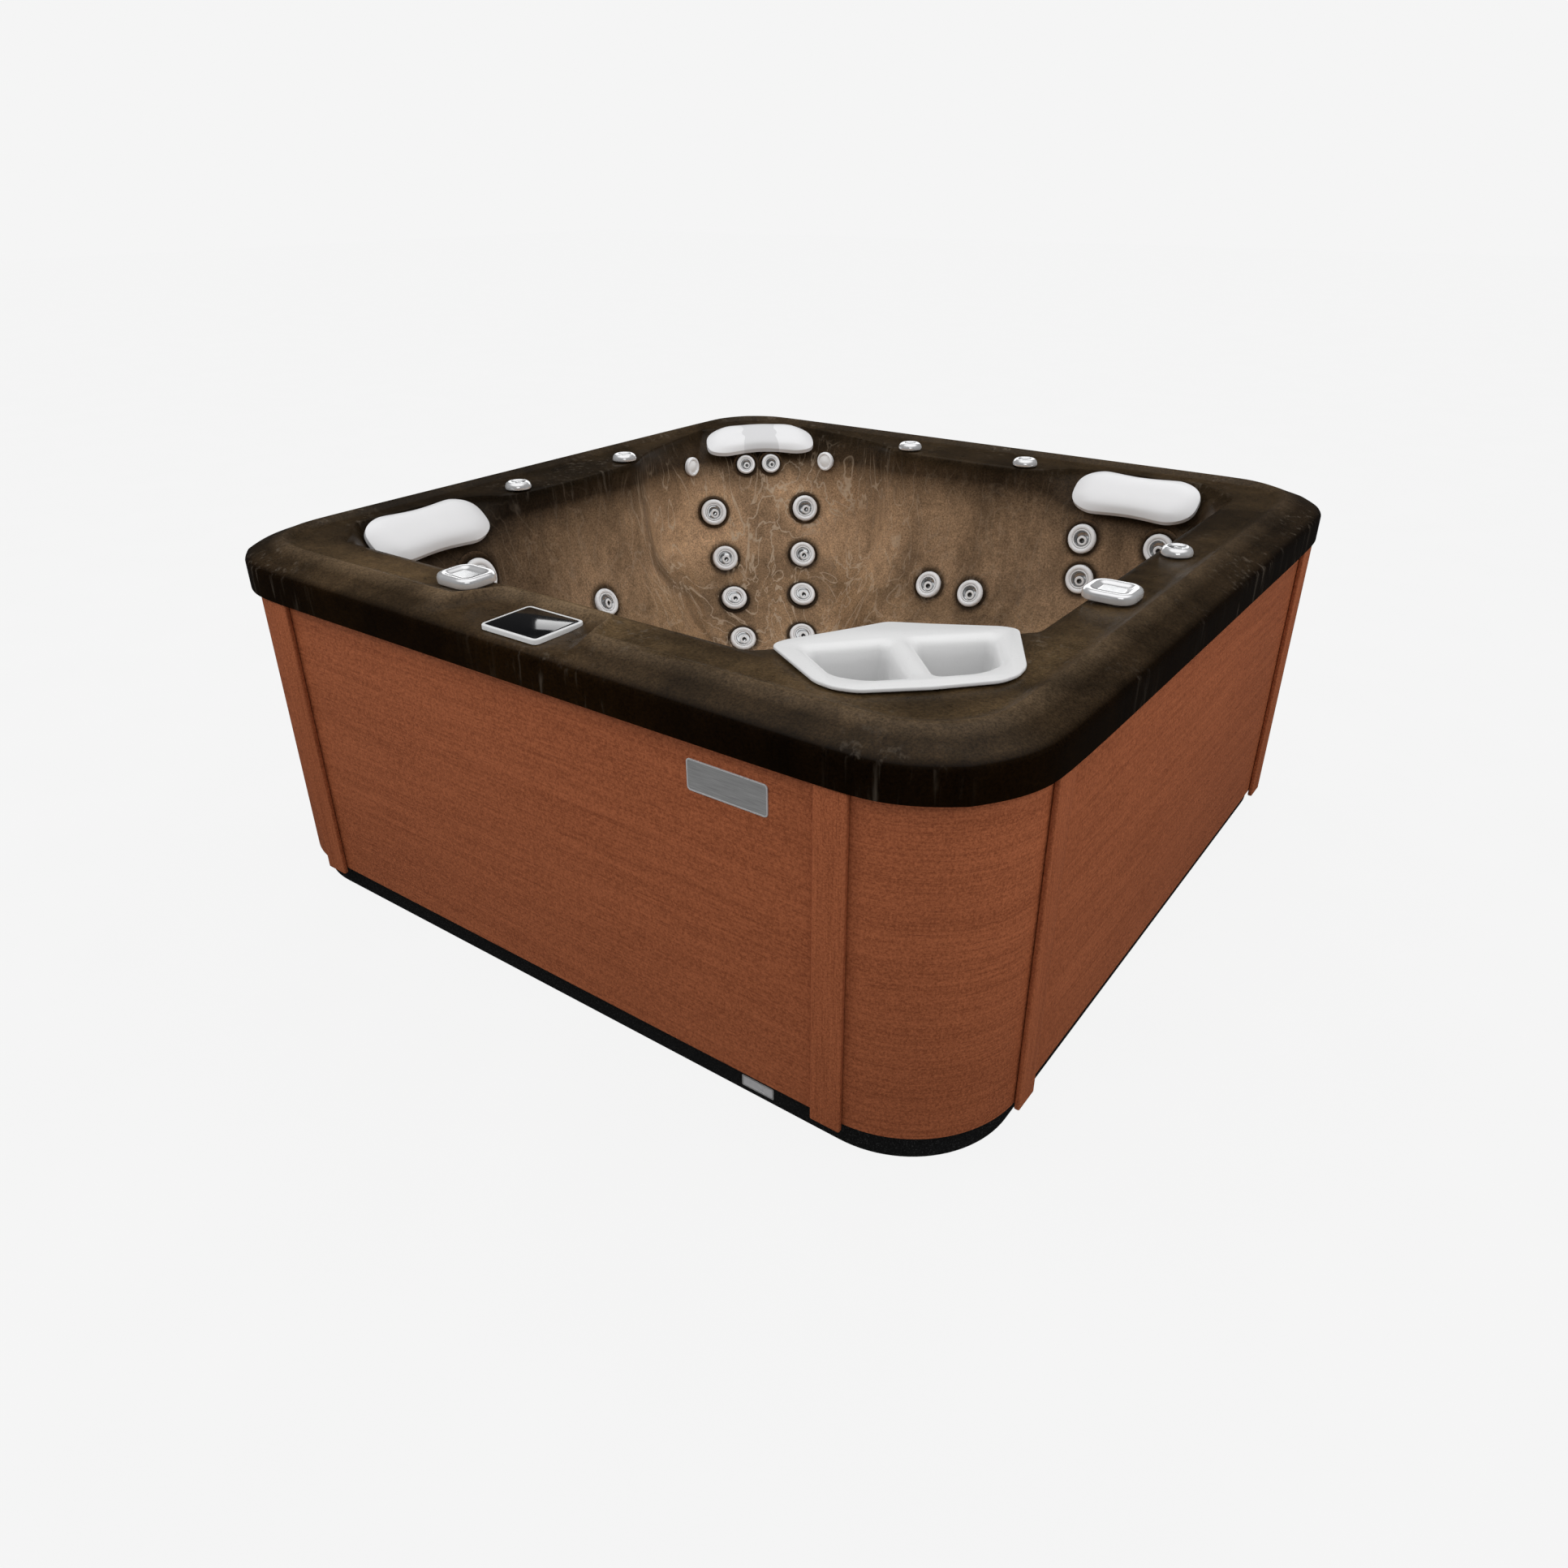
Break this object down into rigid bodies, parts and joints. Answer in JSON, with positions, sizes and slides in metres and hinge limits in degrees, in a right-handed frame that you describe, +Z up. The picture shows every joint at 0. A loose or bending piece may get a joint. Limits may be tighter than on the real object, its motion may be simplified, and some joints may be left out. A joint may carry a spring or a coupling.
{
  "type": "portable hot tub",
  "caption": "Square portable hot tub with a marbled acrylic shell, panelled cabinet, corner seats, jets, head rests, skim filter and top-side controls.",
  "frame": {"origin": "centre of the footprint, on the ground", "axes": "+Z up; the front with the control panel and badge faces -Y; +X is to the right of the front"},
  "size_m": [2.14, 2.14, 0.9135],
  "materials": {
    "acrylic": "polished marbled acrylic",
    "base": "satin moulded",
    "chrome": "polished",
    "cladding": "stained, horizontal fine grain",
    "filter": "pleated",
    "jet": "moulded, chromed insert",
    "lens": "clear lens",
    "motor": "satin black",
    "pillow": "smooth skin foam",
    "pipe": "moulded",
    "screen": "polished",
    "steel": "brushed",
    "timber": "sawn",
    "white": "moulded"
  },
  "bodies": {
    "tub": {"back_left_corner_panel": "cladding", "back_panel": "cladding", "back_right_corner_panel": "cladding", "badge_plate": "steel", "base_pan": "base", "cabinet_frame": "timber", "circulation_pump": "motor", "control_bezel": "pillow", "control_pack": "motor", "control_screen": "screen", "filter_housing": "white", "front_left_corner_panel": "cladding", "front_panel": "cladding", "front_right_corner_panel": "cladding", "heater_tube": "steel", "left_panel": "cladding", "light_back": "lens", "light_left": "lens", "pressure_pipe": "pipe", "rating_plate": "steel", "right_panel": "cladding", "shell": "acrylic", "suction_cover": "jet", "trim_back_left": "cladding", "trim_back_right": "cladding", "trim_front_left": "cladding", "trim_front_right": "cladding", "trim_left_back": "cladding", "trim_left_front": "cladding", "trim_right_back": "cladding", "trim_right_front": "cladding"},
    "neck_jet_left": {"neck_jet_left": "jet"},
    "neck_jet_right": {"neck_jet_right": "jet"},
    "jet_corner_left_1": {"jet_corner_left_1": "jet"},
    "jet_corner_left_2": {"jet_corner_left_2": "jet"},
    "jet_corner_left_3": {"jet_corner_left_3": "jet"},
    "jet_corner_left_4": {"jet_corner_left_4": "jet"},
    "jet_corner_right_1": {"jet_corner_right_1": "jet"},
    "jet_corner_right_2": {"jet_corner_right_2": "jet"},
    "jet_corner_right_3": {"jet_corner_right_3": "jet"},
    "jet_corner_right_4": {"jet_corner_right_4": "jet"},
    "jet_back_left": {"jet_back_left": "jet"},
    "jet_back_right": {"jet_back_right": "jet"},
    "jet_back_seat_upper": {"jet_back_seat_upper": "jet"},
    "jet_back_seat_lower": {"jet_back_seat_lower": "jet"},
    "jet_back_seat_outer": {"jet_back_seat_outer": "jet"},
    "jet_left_middle": {"jet_left_middle": "jet"},
    "jet_left_seat_large": {"jet_left_seat_large": "jet"},
    "air_knob_left_front": {"air_knob_left_front": "chrome"},
    "air_knob_left_back": {"air_knob_left_back": "chrome"},
    "air_knob_back_left": {"air_knob_back_left": "chrome"},
    "air_knob_back_right": {"air_knob_back_right": "chrome"},
    "air_knob_right": {"air_knob_right": "chrome"},
    "diverter_front": {"diverter_front": "chrome"},
    "diverter_right": {"diverter_right": "chrome"},
    "pillow_back_left": {"pillow_back_left": "pillow"},
    "pillow_back_right": {"pillow_back_right": "pillow"},
    "pillow_front_left": {"pillow_front_left": "pillow"},
    "filter_basket": {"filter_basket": "white"},
    "filter_cartridge": {"filter_cartridge": "filter"}
  },
  "joints": [
    {"name": "neck_jet_left_turn", "type": "hinge", "parent": "tub", "child": "neck_jet_left", "pos_m": [-0.74468, 0.68387, 0.79435], "axis": [0.6656, -0.6656, 0.3375], "range_deg": [-60, 60]},
    {"name": "neck_jet_right_turn", "type": "hinge", "parent": "tub", "child": "neck_jet_right", "pos_m": [-0.68387, 0.74468, 0.79435], "axis": [0.6656, -0.6656, 0.3375], "range_deg": [-60, 60]},
    {"name": "jet_corner_left_1_turn", "type": "hinge", "parent": "tub", "child": "jet_corner_left_1", "pos_m": [-0.79278, 0.56226, 0.64935], "axis": [0.6656, -0.6656, 0.3375], "range_deg": [-60, 60]},
    {"name": "jet_corner_left_2_turn", "type": "hinge", "parent": "tub", "child": "jet_corner_left_2", "pos_m": [-0.72838, 0.53747, 0.50514], "axis": [0.5979, -0.5979, 0.534], "range_deg": [-60, 60]},
    {"name": "jet_corner_left_3_turn", "type": "hinge", "parent": "tub", "child": "jet_corner_left_3", "pos_m": [-0.64685, 0.47997, 0.395], "axis": [0.4685, -0.4685, 0.749], "range_deg": [-60, 60]},
    {"name": "jet_corner_left_4_turn", "type": "hinge", "parent": "tub", "child": "jet_corner_left_4", "pos_m": [-0.5539, 0.4054, 0.29102], "axis": [0.464, -0.464, 0.7546], "range_deg": [-60, 60]},
    {"name": "jet_corner_right_1_turn", "type": "hinge", "parent": "tub", "child": "jet_corner_right_1", "pos_m": [-0.56933, 0.78571, 0.64935], "axis": [0.6656, -0.6656, 0.3375], "range_deg": [-60, 60]},
    {"name": "jet_corner_right_2_turn", "type": "hinge", "parent": "tub", "child": "jet_corner_right_2", "pos_m": [-0.53747, 0.72838, 0.50514], "axis": [0.5979, -0.5979, 0.534], "range_deg": [-60, 60]},
    {"name": "jet_corner_right_3_turn", "type": "hinge", "parent": "tub", "child": "jet_corner_right_3", "pos_m": [-0.47997, 0.64685, 0.395], "axis": [0.4685, -0.4685, 0.749], "range_deg": [-60, 60]},
    {"name": "jet_corner_right_4_turn", "type": "hinge", "parent": "tub", "child": "jet_corner_right_4", "pos_m": [-0.41177, 0.54753, 0.29102], "axis": [0.464, -0.464, 0.7546], "range_deg": [-60, 60]},
    {"name": "jet_back_left_turn", "type": "hinge", "parent": "tub", "child": "jet_back_left", "pos_m": [-0.028, 0.71069, 0.49883], "axis": [0, -0.8887, 0.4584], "range_deg": [-60, 60]},
    {"name": "jet_back_right_turn", "type": "hinge", "parent": "tub", "child": "jet_back_right", "pos_m": [0.122, 0.71069, 0.49883], "axis": [0, -0.8887, 0.4584], "range_deg": [-60, 60]},
    {"name": "jet_back_seat_upper_turn", "type": "hinge", "parent": "tub", "child": "jet_back_seat_upper", "pos_m": [0.44, 0.77648, 0.71197], "axis": [0, -0.9703, 0.2418], "range_deg": [-60, 60]},
    {"name": "jet_back_seat_lower_turn", "type": "hinge", "parent": "tub", "child": "jet_back_seat_lower", "pos_m": [0.458, 0.74833, 0.59897], "axis": [0, -0.9703, 0.2418], "range_deg": [-60, 60]},
    {"name": "jet_back_seat_outer_turn", "type": "hinge", "parent": "tub", "child": "jet_back_seat_outer", "pos_m": [0.668, 0.77823, 0.71897], "axis": [0, -0.9703, 0.2418], "range_deg": [-60, 60]},
    {"name": "jet_left_middle_turn", "type": "hinge", "parent": "tub", "child": "jet_left_middle", "pos_m": [-0.72049, -0.055, 0.51783], "axis": [0.8887, 0, 0.4584], "range_deg": [-60, 60]},
    {"name": "jet_left_seat_large_turn", "type": "hinge", "parent": "tub", "child": "jet_left_seat_large", "pos_m": [-0.7725, -0.473, 0.69597], "axis": [0.9703, 0, 0.2418], "range_deg": [-60, 60]},
    {"name": "air_knob_left_front_turn", "type": "hinge", "parent": "tub", "child": "air_knob_left_front", "pos_m": [-0.831, -0.25, 0.8895], "axis": [0, 0, 1], "range_deg": [0, 90]},
    {"name": "air_knob_left_back_turn", "type": "hinge", "parent": "tub", "child": "air_knob_left_back", "pos_m": [-0.831, 0.185, 0.8895], "axis": [0, 0, 1], "range_deg": [0, 90]},
    {"name": "air_knob_back_left_turn", "type": "hinge", "parent": "tub", "child": "air_knob_back_left", "pos_m": [-0.188, 0.828, 0.8895], "axis": [0, 0, 1], "range_deg": [0, 90]},
    {"name": "air_knob_back_right_turn", "type": "hinge", "parent": "tub", "child": "air_knob_back_right", "pos_m": [0.212, 0.828, 0.8895], "axis": [0, 0, 1], "range_deg": [0, 90]},
    {"name": "air_knob_right_turn", "type": "hinge", "parent": "tub", "child": "air_knob_right", "pos_m": [0.893, 0.193, 0.8895], "axis": [0, 0, 1], "range_deg": [0, 90]},
    {"name": "diverter_front_turn", "type": "hinge", "parent": "tub", "child": "diverter_front", "pos_m": [-0.288, -0.89, 0.8915], "axis": [0, 0, 1], "range_deg": [0, 180]},
    {"name": "diverter_right_turn", "type": "hinge", "parent": "tub", "child": "diverter_right", "pos_m": [0.886, -0.183, 0.8915], "axis": [0, 0, 1], "range_deg": [0, 180]},
    {"name": "pillow_back_left_pull", "type": "slide", "parent": "tub", "child": "pillow_back_left", "axis": [0.2876, -0.2876, 0.9135], "range_m": [0, 0.08]},
    {"name": "pillow_back_right_pull", "type": "slide", "parent": "tub", "child": "pillow_back_right", "axis": [0, -0.6428, 0.766], "range_m": [0, 0.08]},
    {"name": "pillow_front_left_pull", "type": "slide", "parent": "tub", "child": "pillow_front_left", "axis": [0.6428, 0, 0.766], "range_m": [0, 0.08]},
    {"name": "basket_lift", "type": "slide", "parent": "tub", "child": "filter_basket", "axis": [0, 0, 1], "range_m": [0, 0.3]},
    {"name": "cartridge_unscrew", "type": "hinge", "parent": "tub", "child": "filter_cartridge", "pos_m": [0.72691, -0.72691, 0.3034], "axis": [0, 0, 1], "range_deg": [0, 180]}
  ]
}
